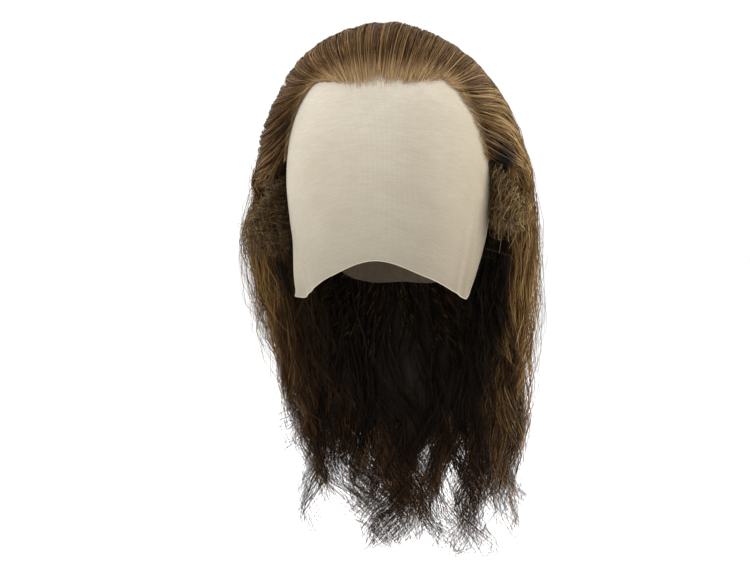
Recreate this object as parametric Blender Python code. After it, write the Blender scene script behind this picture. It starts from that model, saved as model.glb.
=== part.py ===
# Lace front wig: a sheer front panel and a net cap, with hair combed back from the hairline.
# Metres, +Z up, the face towards -Y. The origin is the inside of the cap at the crown. Left and right in
# the names are as seen from in front, so left is -X.
#
# Every surface is worked out on a polar chart of the head. Angle runs round the head from the face,
# to 90 degrees at the ears and 180 at the nape. Depth is 0 at the crown, 1 at the widest level, and
# goes on down at the same rate, one unit for each crown_arc.

import math
from collections import namedtuple

import bmesh
import bpy
import numpy as np

# The head that the cap is cut for
head_width = 0.155
head_length = 0.197
dome_height = 0.110
dome_squareness = 2.4
plan_squareness = 2.2
neck_taper = 0.51
nape_level = 0.190

# Cloth
cap_wall = 0.0012
lace_wall = 0.0010
seam_gap = 0.0003
lace_drop = 0.166
pleat_height = 0.0016
corner_flare = 0.007
corner_angle = -65
corner_width = 6
corner_start = 0.7
pleat_depth = 0.4

# Hair
hair_length = 0.300
crown_rise = 0.0105
side_spread = 0.035
back_spread = 0.025
hair_seat = 0.0011
root_thickness = 0.0014
root_lift_length = 0.026
tip_notch = 0.030
tip_scatter = 0.012

# Shares of the hair's wall: how deep the grooves are and how much that varies, how far the front edges
# are rounded in, and how far each face closes in at the tips
groove_share = 0.19
groove_unevenness = 0.28
edge_rounding = 0.94
tip_closing = 0.43
tuft_share = 0.94
tuft_frizz = 0.08
tuft_squareness = 0.4

# The part of a half circle that the tuft's bulge follows, from lane to lane and from root to tip
tuft_across = (math.radians(13), math.radians(167))
tuft_down = (math.radians(7), math.radians(126))

# How the lanes run: the comb's direction at the temples, the rounded edge's and the drift's share of a
# lane, the sway of the hanging hair, the depth over which the hair comes free of the cap, and the lanes
# left free between two sections
comb_angle = math.radians(60)
edge_lanes = 0.10
lane_drift = 0.02
drift_turns = 2.5
sway_angle = math.radians(2.6)
sway_depth = 1.2
free_depth = 0.4
lane_gap = 0.0030

# How finely the solids are cut
locks = 20
cuts_per_lock = 4
rows_to_knee = 13
rows_to_tip = 8
top_rows = 9
lace_columns = 34
rear_columns = 24
cap_rows = 11
lace_rows = 9
tuft_cuts = 7

# A quarter of the way round the head, on a circle of its average radius that is a little squared off
mean_radius = (2 * dome_height + (head_width + head_length) / 2) / 4
crown_arc = 1.6 * mean_radius

# One row for each lane of hair, from the middle of the front (0) over the temple (1) to the foot of
# the sideburn (1.3). Root is on the hairline, knee is where the hair turns to hang straight down, and
# the tips are shares of hair_length.
Lane = namedtuple("Lane", "lane root_angle root_depth knee_angle knee_depth left_tip right_tip")
lanes = (
    Lane(0.00, 0, 0.580, 180, 1.00, 0.99, 0.99),
    Lane(0.30, 26, 0.580, 154, 1.02, 1.00, 1.00),
    Lane(0.50, 45, 0.585, 137, 1.04, 0.91, 1.00),
    Lane(0.60, 53, 0.610, 128, 1.05, 0.86, 0.96),
    Lane(0.75, 60, 0.675, 115, 1.07, 0.79, 0.90),
    Lane(0.88, 67, 0.745, 103, 1.09, 0.73, 0.84),
    Lane(1.00, 72, 0.870, 92, 1.12, 0.69, 0.79),
    Lane(1.30, 77, 1.190, 90, 1.30, 0.69, 0.79),
)
top_lane = 0.60
sideburn_lane = 1.30

# How far the hair stands off the head beyond crown_rise. Level is 0 at the crown, 1 at the widest
# level and 2 at the longest tips. Left and right are shares of side_spread, back of back_spread.
Section = namedtuple("Section", "level left back right")
sections = (
    Section(0.00, 0.00, 0.00, 0.00),
    Section(0.25, -0.04, 0.10, -0.12),
    Section(0.50, 0.12, 0.26, 0.00),
    Section(0.75, 0.34, 0.46, 0.27),
    Section(1.00, 0.70, 0.58, 0.59),
    Section(1.16, 0.94, 0.60, 0.70),
    Section(1.30, 0.80, 0.56, 0.74),
    Section(1.46, 0.38, 0.46, 0.76),
    Section(1.62, 0.32, 0.30, 0.80),
    Section(1.80, 0.18, 0.08, 0.84),
    Section(2.00, 0.00, -0.14, 0.76),
)

# The lace panel's two edges against angle. Top is a depth on the chart, under the hair, and low is a
# share of lace_drop. The first row mirrors the third, so that both edges run level across the middle.
LaceEdge = namedtuple("LaceEdge", "angle top low")
lace_edges = (
    LaceEdge(-24, 0.420, 1.07),
    LaceEdge(0, 0.420, 1.00),
    LaceEdge(24, 0.420, 1.07),
    LaceEdge(48, 0.440, 1.15),
    LaceEdge(60, 0.500, 1.18),
    LaceEdge(72, 0.640, 1.13),
    LaceEdge(84, 0.820, 0.93),
)

# The cap's lower edge behind the lace, over the ear and round the nape, as shares of nape_level.
CapEdge = namedtuple("CapEdge", "angle low")
cap_edges = (
    CapEdge(84, 0.52),
    CapEdge(90, 0.62),
    CapEdge(104, 0.60),
    CapEdge(120, 0.74),
    CapEdge(140, 0.94),
    CapEdge(160, 1.00),
    CapEdge(180, 1.00),
)

# Tension pleats in the lace: where each stands, how wide it is, and its share of pleat_height.
Pleat = namedtuple("Pleat", "angle width share")
pleats = (
    Pleat(-63, 4.0, 1.0),
    Pleat(-52, 3.5, 0.7),
    Pleat(-42, 3.0, 0.4),
    Pleat(48, 3.0, 0.5),
    Pleat(58, 3.5, 1.0),
)

lace_angle = lace_edges[-1].angle
golden_angle = math.pi * (3 - math.sqrt(5))


def between(table, column, at):
    """The smooth curve through one column of a table, read at these places. It is a cubic between rows."""
    places = np.array([row[0] for row in table], float)
    values = np.array([getattr(row, column) for row in table], float)
    slopes = np.gradient(values, places)
    at = np.clip(at, places[0], places[-1])
    row = np.clip(np.searchsorted(places, at) - 1, 0, len(places) - 2)
    step = places[row + 1] - places[row]
    s = (at - places[row]) / step
    start = values[row] * (1 + 2 * s) * (1 - s) ** 2 + step * slopes[row] * s * (1 - s) ** 2
    end = values[row + 1] * s * s * (3 - 2 * s) + step * slopes[row + 1] * s * s * (s - 1)
    return start + end


def ease(x):
    """0 below 0, 1 above 1, and a smooth step from one to the other."""
    x = np.clip(x, 0, 1)
    return x * x * (3 - 2 * x)


def depth_at(level):
    """The chart's depth at a level this many metres below the crown, at or below the widest one."""
    return 1 + (level - dome_height) / crown_arc


def narrowing(depth):
    """The head's girth as a share of its widest, which falls below the widest level as far as the nape."""
    below = np.clip(depth, 1, depth_at(nape_level)) - 1
    return 1 - neck_taper * below**1.5


def place(angle, depth, girth, stand_off):
    """Points in space. Plan and profile are superellipses of the head, grown by stand_off."""
    across = head_width / 2 * girth + stand_off
    along = head_length / 2 * girth + stand_off
    sine, cosine = np.sin(angle), np.cos(angle)
    plan = (np.abs(sine) / across) ** plan_squareness + (np.abs(cosine) / along) ** plan_squareness
    tilt = np.clip(depth, 0, 1) * math.pi / 2
    out, up = np.sin(tilt), np.maximum(np.cos(tilt), 0)
    size = (out**dome_squareness + up**dome_squareness) ** (-1 / dome_squareness)
    radius = plan ** (-1 / plan_squareness) * size * out
    height = size * up * (dome_height + stand_off) - dome_height
    height = height - np.maximum(depth - 1, 0) * crown_arc
    return np.stack(np.broadcast_arrays(radius * sine, -radius * cosine, height), -1)


def on_head(angle, depth, stand_off):
    """Points this far off the head's own surface."""
    return place(angle, depth, narrowing(depth), stand_off)


def hair_stand_off(angle, depth):
    """How far the hair's outer surface stands off, from the sections, turned smoothly round the head."""
    level = np.where(depth < 1, depth, 1 + (depth - 1) * crown_arc / hair_length)
    sideways = np.sin(angle) ** 2
    left = side_spread * between(sections, "left", level)
    right = side_spread * between(sections, "right", level)
    side = np.where(angle < 0, left, right)
    return crown_rise + sideways * side + (1 - sideways) * back_spread * between(sections, "back", level)


def tip_depth(lane):
    """The chart's depth of each lane's tips, with every lock a little longer or shorter than the next."""
    share = np.where(
        lane < 0,
        between(lanes, "left_tip", np.abs(lane)),
        between(lanes, "right_tip", np.abs(lane)),
    )
    lock = np.floor((lane + 1) / 2 * locks + 1e-6)
    longer = tip_scatter * (crest(lane) * np.cos(golden_angle * lock) - 1)
    level = dome_height + share * hair_length + longer - tip_notch * (1 - crest(lane))
    return depth_at(level)


def crest(lane):
    """1 along the middle of each lock and 0 in the groove between two."""
    return np.abs(np.sin(math.pi * (lane + 1) / 2 * locks))


def flow(lane, way):
    """Angle and depth along a lane. way is 0 at the root, 1 at the knee and 2 at the tip: a cubic on the
    chart from the root, combed back, to the knee, and from there straight down."""
    side = np.where(lane < 0, -1.0, 1.0)
    start, end, knee_depth = lane_ends(lane)
    reach = np.hypot(*(end - start))
    comb = comb_angle * np.minimum(np.abs(lane), 1)
    leaving = reach * np.stack([np.sin(comb), np.cos(comb)])
    arriving = reach * end / knee_depth
    s = np.minimum(way, 1)
    chart = start * (1 + 2 * s) * (1 - s) ** 2 + leaving * s * (1 - s) ** 2
    chart = chart + end * s * s * (3 - 2 * s) - arriving * s * s * (1 - s)
    falling = np.maximum(way - 1, 0)
    depth = np.hypot(*chart) + falling * (tip_depth(lane) - knee_depth)
    angle = np.arctan2(chart[0], -chart[1])
    sway = sway_angle * ease((depth - 1) / sway_depth) * np.sin(5 * depth + 9 * lane)
    return side * angle + sway, depth


def lane_ends(lane):
    """Each lane's root and knee on the chart, as if it were on the right, and the knee's depth. Lanes are
    drawn together and apart a little, so that no two locks are of one width."""
    drift = lane_drift * np.sin(2 * math.pi * drift_turns * np.abs(lane))
    drawn = np.abs(lane) + np.where(np.abs(lane) < 1, drift, 0)
    root = np.radians(between(lanes, "root_angle", drawn))
    knee = np.radians(between(lanes, "knee_angle", drawn))
    knee_depth = between(lanes, "knee_depth", drawn)
    start = between(lanes, "root_depth", drawn) * np.stack([np.sin(root), -np.cos(root)])
    return start, knee_depth * np.stack([np.sin(knee), -np.cos(knee)]), knee_depth


def walls(lane, way):
    """The hair's inner and outer points along these lanes. The wall is thin at the root, full where it
    falls, grooved between locks, rounded at the front edges and thin again at the tips."""
    angle, depth = flow(lane, way)
    inner = on_head(angle, depth, cap_wall + hair_seat)
    outer = place(angle, depth, 1, hair_stand_off(angle, depth))
    wall = np.linalg.norm(outer - inner, axis=-1)
    start, end, _ = lane_ends(lane)
    from_root = way * crown_arc * np.hypot(*(end - start))
    lift = 1 - np.exp(-from_root / root_lift_length)
    edge = np.clip((np.abs(lane) - 1 + edge_lanes) / edge_lanes, 0, 1)
    rounding = np.sqrt(1 - edge_rounding * edge**2)
    free = ease((depth - 1) / free_depth)
    closing = tip_closing * np.maximum(way - 1, 0) ** 3
    uneven = 1 + groove_unevenness * np.sin(7 * lane + 4 * way)
    grooves = 1 - groove_share * uneven * (1 - crest(lane)) * lift
    far = free / 2 + (1 - free / 2) * rounding * grooves * lift - closing
    near = free / 2 * (1 - rounding) + closing * free
    far = np.maximum(far, near + root_thickness / wall)
    return inner + near[..., None] * (outer - inner), inner + far[..., None] * (outer - inner)


def tuft_walls(lane, way):
    """The sideburn's inner and outer points: a tuft that bulges from the lanes below the temple."""
    angle, depth = flow(lane, way)
    inner = on_head(angle, depth, cap_wall + hair_seat)
    outer = place(angle, depth, 1, hair_stand_off(angle, depth))
    across = (np.abs(lane) - 1) / (sideburn_lane - 1)
    bulge = np.sin(np.interp(across, [0, 1], tuft_across)) * np.sin(np.interp(way, [0, 1], tuft_down))
    frizz = 1 + tuft_frizz * np.sin(31 * lane + 9 * way) * np.sin(13 * way + 4)
    far = tuft_share * bulge**tuft_squareness * frizz
    return inner, inner + far[..., None] * (outer - inner)


def shell(name, inner, outer, round_head=False):
    """A closed wall between two grids of points, with a rim round its open edges. A grid that goes round
    the head joins its last column to its first, and its top row, a single point, is merged."""
    rows, columns = inner.shape[:2]
    half = rows * columns
    row = np.arange(rows - 1)[:, None]
    column = np.arange(columns if round_head else columns - 1)[None, :]
    following = (column + 1) % columns
    here, beside = row * columns + column, row * columns + following
    faces = np.stack([here, beside, beside + columns, here + columns], -1).reshape(-1, 4)
    highest, lowest = np.arange(columns), np.arange(columns) + (rows - 1) * columns
    first = np.arange(rows) * columns
    rims = [np.append(lowest, lowest[0])] if round_head else [highest, lowest, first, first + columns - 1]
    here, beside = np.concatenate([[rim[:-1], rim[1:]] for rim in rims], 1)
    # Facing rims are cut along the same diagonals, so that two sections keep their gap all the way.
    halves = [[here, beside, beside + half], [here, beside + half, here + half]]
    triangles = np.concatenate([np.stack(half_quad, -1) for half_quad in halves])
    polygons = [*(faces + half).tolist(), *faces[:, ::-1].tolist(), *triangles.tolist()]
    mesh = bpy.data.meshes.new(name)
    points = np.concatenate([inner.reshape(-1, 3), outer.reshape(-1, 3)])
    mesh.from_pydata(points.tolist(), [], polygons)
    tidy = bmesh.new()
    tidy.from_mesh(mesh)
    bmesh.ops.remove_doubles(tidy, verts=tidy.verts, dist=1e-6)
    bmesh.ops.recalc_face_normals(tidy, faces=tidy.faces)
    if tidy.calc_volume(signed=True) < 0:
        bmesh.ops.reverse_faces(tidy, faces=tidy.faces)
    tidy.to_mesh(mesh)
    tidy.free()
    mesh.shade_smooth()
    mesh.set_sharp_from_angle(angle=math.radians(60))
    made = bpy.data.objects.new(name, mesh)
    bpy.context.scene.collection.objects.link(made)
    return made


def material(name, colour, roughness, alpha=1.0):
    """A plain finish in the colour of the piece."""
    made = bpy.data.materials.new(name)
    made.use_nodes = True
    shader = made.node_tree.nodes["Principled BSDF"]
    shader.inputs["Base Color"].default_value = (*colour, 1)
    shader.inputs["Roughness"].default_value = roughness
    shader.inputs["Metallic"].default_value = 0
    shader.inputs["Alpha"].default_value = alpha
    return made


def make_lace_front(finish):
    """The sheer panel over the forehead and temples, from under the hair to its cut lower edge."""
    angle = np.linspace(-lace_angle, lace_angle, lace_columns + 1)
    top = between(lace_edges, "top", np.abs(angle))
    low = depth_at(lace_drop * between(lace_edges, "low", np.abs(angle)))
    share = np.linspace(0, 1, lace_rows + 1)[:, None]
    depth = top + (low - top) * share
    fold = sum(p.share * np.exp(-(((angle - p.angle) / p.width) ** 2)) for p in pleats)
    corner = np.exp(-(((angle - corner_angle) / corner_width) ** 2))
    corner = corner * ease((share - corner_start) / (1 - corner_start))
    stand_off = pleat_height * fold * ease((depth - 1) / pleat_depth) + corner_flare * corner
    around = np.radians(np.broadcast_to(angle, depth.shape))
    inner = on_head(around, depth, stand_off)
    outer = on_head(around, depth, stand_off + lace_wall)
    shell("lace_front", inner, outer).data.materials.append(finish)


def make_cap(finish):
    """The net cap from the lace's upper edge over the crown, above the ears and round the nape."""
    ahead = np.linspace(-lace_angle, lace_angle, lace_columns + 1)
    angle = np.append(ahead, np.linspace(lace_angle, 360 - lace_angle, rear_columns + 1)[1:-1])
    from_face = np.minimum(np.abs(angle), 360 - angle)
    front = between(lace_edges, "top", from_face) - seam_gap / crown_arc
    behind = depth_at(nape_level * between(cap_edges, "low", from_face))
    edge = np.where(from_face <= lace_angle, front, behind)
    depth = edge * np.linspace(0, 1, cap_rows + 1)[:, None]
    around = np.radians(np.broadcast_to(angle, depth.shape))
    inner = on_head(around, depth, 0)
    outer = on_head(around, depth, cap_wall)
    shell("cap", inner, outer, round_head=True).data.materials.append(finish)


def lane_places(start, end):
    """Lanes from one edge of a piece to the other, on the crests, grooves and flanks of its locks, with
    half a lane_gap left free at both edges."""
    step = 2 / (locks * cuts_per_lock)
    inside = np.arange(math.ceil(start / step + 0.5), math.floor(end / step - 0.5) + 1) * step
    return np.concatenate([[start + lane_gap / 2], inside, [end - lane_gap / 2]])


def make_hair(name, lane_start, lane_end, way_start, way_end, finish):
    """One section of hair, from way_start to way_end on the lanes between two."""
    way = np.append(np.linspace(0, 1, rows_to_knee + 1), np.linspace(1, 2, rows_to_tip + 1)[1:])
    way = way[(way >= way_start - 1e-6) & (way <= way_end + 1e-6)]
    way[0] += lane_gap / 2 if way_start > 0 else 0
    way[-1] -= lane_gap / 2 if way_end < 2 else 0
    lane, way = np.meshgrid(lane_places(lane_start, lane_end), way)
    shell(name, *walls(lane, way)).data.materials.append(finish)


def make_sideburn(name, side, finish):
    """The short frizzy tuft before one ear."""
    lane = side * np.linspace(1 + lane_gap / 2, sideburn_lane, tuft_cuts + 1)
    lane, way = np.meshgrid(lane, np.linspace(0, 1, rows_to_knee + 1))
    shell(name, *tuft_walls(lane, way)).data.materials.append(finish)


def build():
    for old in list(bpy.data.objects):
        bpy.data.objects.remove(old, do_unlink=True)
    net = material("lace_net", (0.62, 0.53, 0.41), 0.75, alpha=0.7)
    foundation = material("cap_net", (0.36, 0.27, 0.18), 0.8)
    brown = material("brown_hair", (0.13, 0.075, 0.038), 0.45)
    golden = material("golden_hair", (0.22, 0.13, 0.065), 0.55)
    make_lace_front(net)
    make_cap(foundation)
    split = top_rows / rows_to_knee
    make_hair("top_hair", -top_lane, top_lane, 0, split, brown)
    make_hair("back_hair", -top_lane, top_lane, split, 2, brown)
    make_hair("side_hair_left", -1, -top_lane, 0, 2, brown)
    make_hair("side_hair_right", top_lane, 1, 0, 2, brown)
    make_sideburn("sideburn_left", -1, golden)
    make_sideburn("sideburn_right", 1, golden)


build()
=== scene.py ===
import math

import bpy
import numpy as np
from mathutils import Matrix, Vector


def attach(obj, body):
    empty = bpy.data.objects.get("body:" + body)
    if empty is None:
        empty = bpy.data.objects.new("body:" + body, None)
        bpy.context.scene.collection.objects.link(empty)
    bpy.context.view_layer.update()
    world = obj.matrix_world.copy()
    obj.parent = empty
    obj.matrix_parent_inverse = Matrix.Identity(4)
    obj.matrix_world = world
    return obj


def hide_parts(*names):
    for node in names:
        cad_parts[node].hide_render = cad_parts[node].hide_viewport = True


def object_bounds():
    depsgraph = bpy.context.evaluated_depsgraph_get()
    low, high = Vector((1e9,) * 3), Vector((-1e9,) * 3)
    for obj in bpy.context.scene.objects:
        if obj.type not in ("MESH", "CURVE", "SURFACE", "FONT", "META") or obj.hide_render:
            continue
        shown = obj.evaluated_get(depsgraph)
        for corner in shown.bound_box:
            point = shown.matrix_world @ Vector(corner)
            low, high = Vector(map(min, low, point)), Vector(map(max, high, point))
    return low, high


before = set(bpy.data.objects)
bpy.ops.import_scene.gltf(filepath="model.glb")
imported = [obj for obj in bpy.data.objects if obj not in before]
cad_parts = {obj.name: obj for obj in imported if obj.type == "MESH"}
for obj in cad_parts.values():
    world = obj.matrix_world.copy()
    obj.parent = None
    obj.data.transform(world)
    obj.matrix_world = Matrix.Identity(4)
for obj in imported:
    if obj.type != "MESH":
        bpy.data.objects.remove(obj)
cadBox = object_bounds()

# The cap's fit and the hair's outer form, as the solids have them
fit = {
    "width": 0.155,
    "length": 0.197,
    "dome": 0.110,
    "domeSquareness": 2.4,
    "planSquareness": 2.2,
    "neckTaper": 0.51,
    "napeLevel": 0.190,
    "capWall": 0.0012,
    "laceWall": 0.0010,
    "laceDrop": 0.166,
}
form = {
    "length": 0.300,
    "crownRise": 0.0105,
    "sideSpread": 0.035,
    "backSpread": 0.025,
    "seat": 0.0011,
    "rootThickness": 0.0014,
    "rootLift": 0.026,
    "tipNotch": 0.030,
    "tipScatter": 0.012,
    "grooveShare": 0.19,
    "grooveUnevenness": 0.28,
    "grooveByLane": 7,
    "grooveByWay": 4,
    "grooveAtCrown": 0.35,
    "edgeRounding": 0.94,
    "tipClosing": 0.43,
    "leftHold": 0.5,
    "holdFromLane": 0.3,
    "holdOverLanes": 0.3,
    "edgeLanes": 0.10,
    "laneDrift": 0.02,
    "driftTurns": 2.5,
    "swayAngle": math.radians(2.6),
    "swayDepth": 1.2,
    "swayByDepth": 5,
    "swayByLane": 9,
    "freeDepth": 0.4,
    "locks": 20,
    "topLane": 0.60,
    "sideburnLane": 1.30,
}
meanRadius = (2 * fit["dome"] + (fit["width"] + fit["length"]) / 2) / 4
crownArc = 1.6 * meanRadius  # the length of one unit of depth, about a quarter turn from the crown
goldenAngle = math.pi * (3 - math.sqrt(5))  # its multiples spread evenly round a turn

# lane, root angle and depth, knee angle and depth, and the tip's share of the length at the left and the right
lanes = (
    (0.00, 0, 0.580, 180, 1.00, 0.99, 0.99),
    (0.30, 26, 0.580, 154, 1.02, 1.00, 1.00),
    (0.50, 45, 0.585, 137, 1.04, 0.91, 1.00),
    (0.60, 53, 0.610, 128, 1.05, 0.86, 0.96),
    (0.75, 60, 0.675, 115, 1.07, 0.79, 0.90),
    (0.88, 67, 0.745, 103, 1.09, 0.73, 0.84),
    (1.00, 72, 0.870, 92, 1.12, 0.69, 0.79),
    (1.30, 77, 1.190, 90, 1.30, 0.69, 0.79),
)
# lane, and the comb's angle off straight back at the roots, at the left and at the right
combs = (
    (0.00, 0, 0),
    (0.30, 40, 18),
    (0.45, 64, 28),
    (0.60, 83, 42),
    (0.75, 97, 56),
    (0.88, 106, 68),
    (1.00, 110, 76),
)
# lane, how far behind (+) the solid's root the hair starts, at the left and at the right, and by how many
# degrees the foremost roots stray on to the lace there
hairline = (
    (0.00, 0.012, 0.012, 0.0),
    (0.20, 0.006, 0.009, 1.0),
    (0.45, 0.008, 0.018, 7.0),
    (0.60, -0.006, -0.004, 12.0),
    (0.75, -0.012, -0.012, 13.0),
    (0.88, -0.010, -0.010, 15.0),
    (1.00, 0.000, 0.000, 12.0),
)
# level, and how far the hair stands off at the left, back and right
sections = (
    (0.00, 0.00, 0.00, 0.00),
    (0.25, -0.04, 0.10, -0.12),
    (0.50, 0.12, 0.26, 0.00),
    (0.75, 0.34, 0.46, 0.27),
    (1.00, 0.70, 0.58, 0.59),
    (1.16, 0.94, 0.60, 0.70),
    (1.30, 0.80, 0.56, 0.74),
    (1.46, 0.38, 0.46, 0.76),
    (1.62, 0.32, 0.30, 0.80),
    (1.80, 0.18, 0.08, 0.84),
    (2.00, 0.00, -0.14, 0.76),
)


def between(table, column, at):  # a cubic through one column of a table, read at these places
    rows = np.array(table, float)
    places, values = rows[:, 0], rows[:, column]
    slopes = np.gradient(values, places)
    at = np.clip(at, places[0], places[-1])
    row = np.clip(np.searchsorted(places, at) - 1, 0, len(places) - 2)
    step = places[row + 1] - places[row]
    s = (at - places[row]) / step
    start = values[row] * (1 + 2 * s) * (1 - s) ** 2 + step * slopes[row] * s * (1 - s) ** 2
    end = values[row + 1] * s * s * (3 - 2 * s) + step * slopes[row + 1] * s * s * (s - 1)
    return start + end


def spanned(ends, share):  # the value this share of the way from the first end to the second
    return ends[0] + (ends[1] - ends[0]) * share


def ease(x):  # 0 below 0, 1 above 1, with a smooth step between
    x = np.clip(x, 0, 1)
    return x * x * (3 - 2 * x)


def depthAt(level):  # chart depth this far below the crown, past the widest level
    return 1 + (level - fit["dome"]) / crownArc


def place(angle, depth, girth, standOff):
    # Plan and profile are superellipses: radius = plan * size * sin(tilt), height = size times
    # cos(tilt) times the dome, then straight down at one crownArc for each unit of depth.
    across = fit["width"] / 2 * girth + standOff
    along = fit["length"] / 2 * girth + standOff
    sine, cosine = np.sin(angle), np.cos(angle)
    power = fit["planSquareness"]
    plan = (np.abs(sine) / across) ** power + (np.abs(cosine) / along) ** power
    tilt = np.clip(depth, 0, 1) * math.pi / 2
    out, up = np.sin(tilt), np.maximum(np.cos(tilt), 0)
    domed = fit["domeSquareness"]
    size = (out**domed + up**domed) ** (-1 / domed)
    radius = plan ** (-1 / power) * size * out
    height = size * up * (fit["dome"] + standOff) - fit["dome"]
    height = height - np.maximum(depth - 1, 0) * crownArc
    return np.stack(np.broadcast_arrays(radius * sine, -radius * cosine, height), -1)


def onCap(angle, depth, standOff):  # the cap's inner face, its girth falling below the widest level
    below = np.clip(depth, 1, depthAt(fit["napeLevel"])) - 1
    return place(angle, depth, 1 - fit["neckTaper"] * below**1.5, standOff)


def hairStandOff(angle, depth):
    # Sections turned smoothly round: sine squared of the side, the rest of the back.
    level = np.where(depth < 1, depth, 1 + (depth - 1) * crownArc / form["length"])
    sideways = np.sin(angle) ** 2
    side = np.where(angle < 0, between(sections, 1, level), between(sections, 3, level))
    back = form["backSpread"] * between(sections, 2, level)
    return form["crownRise"] + sideways * form["sideSpread"] * side + (1 - sideways) * back


def crest(lane):  # 1 along the middle of a lock, 0 in the groove between two
    return np.abs(np.sin(math.pi * (lane + 1) / 2 * form["locks"]))


def tipDepth(lane):  # each lock a little longer or shorter than the next, notched between locks
    share = np.where(lane < 0, between(lanes, 5, np.abs(lane)), between(lanes, 6, np.abs(lane)))
    lock = np.floor((lane + 1) / 2 * form["locks"] + 1e-6)
    longer = form["tipScatter"] * (crest(lane) * np.cos(goldenAngle * lock) - 1)
    return depthAt(fit["dome"] + share * form["length"] + longer - form["tipNotch"] * (1 - crest(lane)))


def laneEnds(lane):  # root and knee on the chart, as if on the right, and the knee's depth
    drift = form["laneDrift"] * np.sin(2 * math.pi * form["driftTurns"] * np.abs(lane))
    drawn = np.abs(lane) + np.where(np.abs(lane) < 1, drift, 0)
    root = np.radians(between(lanes, 1, drawn))
    knee = np.radians(between(lanes, 3, drawn))
    kneeDepth = between(lanes, 4, drawn)
    start = between(lanes, 2, drawn) * np.stack([np.sin(root), -np.cos(root)])
    return start, kneeDepth * np.stack([np.sin(knee), -np.cos(knee)]), kneeDepth


def rootShift(lane):  # how far behind the solid's root the hair starts on this lane
    return np.where(lane < 0, between(hairline, 1, np.abs(lane)), between(hairline, 2, np.abs(lane)))


def flow(lane, way):
    # Angle and depth along a lane: a cubic on the chart from the root (way 0), combed back, to the knee (1),
    # then straight down to the tip (2), with a slow sway.
    side = np.where(lane < 0, -1.0, 1.0)
    start, end, kneeDepth = laneEnds(lane)
    reach = np.hypot(*(end - start))
    comb = np.radians(np.where(lane < 0, between(combs, 1, np.abs(lane)), between(combs, 2, np.abs(lane))))
    held = 1 + form["leftHold"] * ease((-lane - form["holdFromLane"]) / form["holdOverLanes"])
    leaving = reach * held * np.stack([np.sin(comb), np.cos(comb)])
    arriving = reach * end / kneeDepth
    s = np.minimum(way, 1)
    chart = start * (1 + 2 * s) * (1 - s) ** 2 + leaving * s * (1 - s) ** 2
    chart = chart + end * s * s * (3 - 2 * s) - arriving * s * s * (1 - s)
    depth = np.hypot(*chart) + np.maximum(way - 1, 0) * (tipDepth(lane) - kneeDepth)
    angle = np.arctan2(chart[0], -chart[1])
    sway = np.sin(form["swayByDepth"] * depth + form["swayByLane"] * lane)
    sway = form["swayAngle"] * ease((depth - 1) / form["swayDepth"]) * sway
    return side * angle + sway, depth


def walls(lane, way, turn=0):
    # Inner and outer points of the hair: thin at the root, full where it falls, grooved between locks,
    # rounded at the front edges, thin again at the tips. turn swings them round the crown.
    angle, depth = flow(lane, way)
    angle = angle + turn
    inner = onCap(angle, depth, fit["capWall"] + form["seat"])
    outer = place(angle, depth, 1, hairStandOff(angle, depth))
    wall = np.linalg.norm(outer - inner, axis=-1)
    start, end, _ = laneEnds(lane)
    lift = 1 - np.exp(-np.maximum(way, 0) * crownArc * np.hypot(*(end - start)) / form["rootLift"])
    edge = np.clip((np.abs(lane) - 1 + form["edgeLanes"]) / form["edgeLanes"], 0, 1)
    rounding = np.sqrt(1 - form["edgeRounding"] * edge**2)
    free = ease((depth - 1) / form["freeDepth"])
    closing = form["tipClosing"] * np.maximum(way - 1, 0) ** 3
    uneven = 1 + form["grooveUnevenness"] * np.sin(form["grooveByLane"] * lane + form["grooveByWay"] * way)
    uneven = uneven * (form["grooveAtCrown"] + (1 - form["grooveAtCrown"]) * free)
    grooves = 1 - form["grooveShare"] * uneven * (1 - crest(lane)) * lift
    far = free / 2 + (1 - free / 2) * rounding * grooves * lift - closing
    near = free / 2 * (1 - rounding) + closing * free
    far = np.maximum(far, near + form["rootThickness"] / wall)
    return inner + near[..., None] * (outer - inner), inner + far[..., None] * (outer - inner), angle, depth


class Wire:  # one socket in an expression: + - * add Math nodes
    def __init__(self, finish, socket):
        self.finish = finish
        self.socket = socket

    def worked(self, operation, first, second):
        return self.finish.node("ShaderNodeMath", {"operation": operation}, {0: first, 1: second})

    def __add__(self, other):
        return self.worked("ADD", self, other)

    def __sub__(self, other):
        return self.worked("SUBTRACT", self, other)

    def __mul__(self, other):
        return self.worked("MULTIPLY", self, other)

    def __rsub__(self, other):
        return self.worked("SUBTRACT", other, self)

    __radd__ = __add__
    __rmul__ = __mul__


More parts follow.
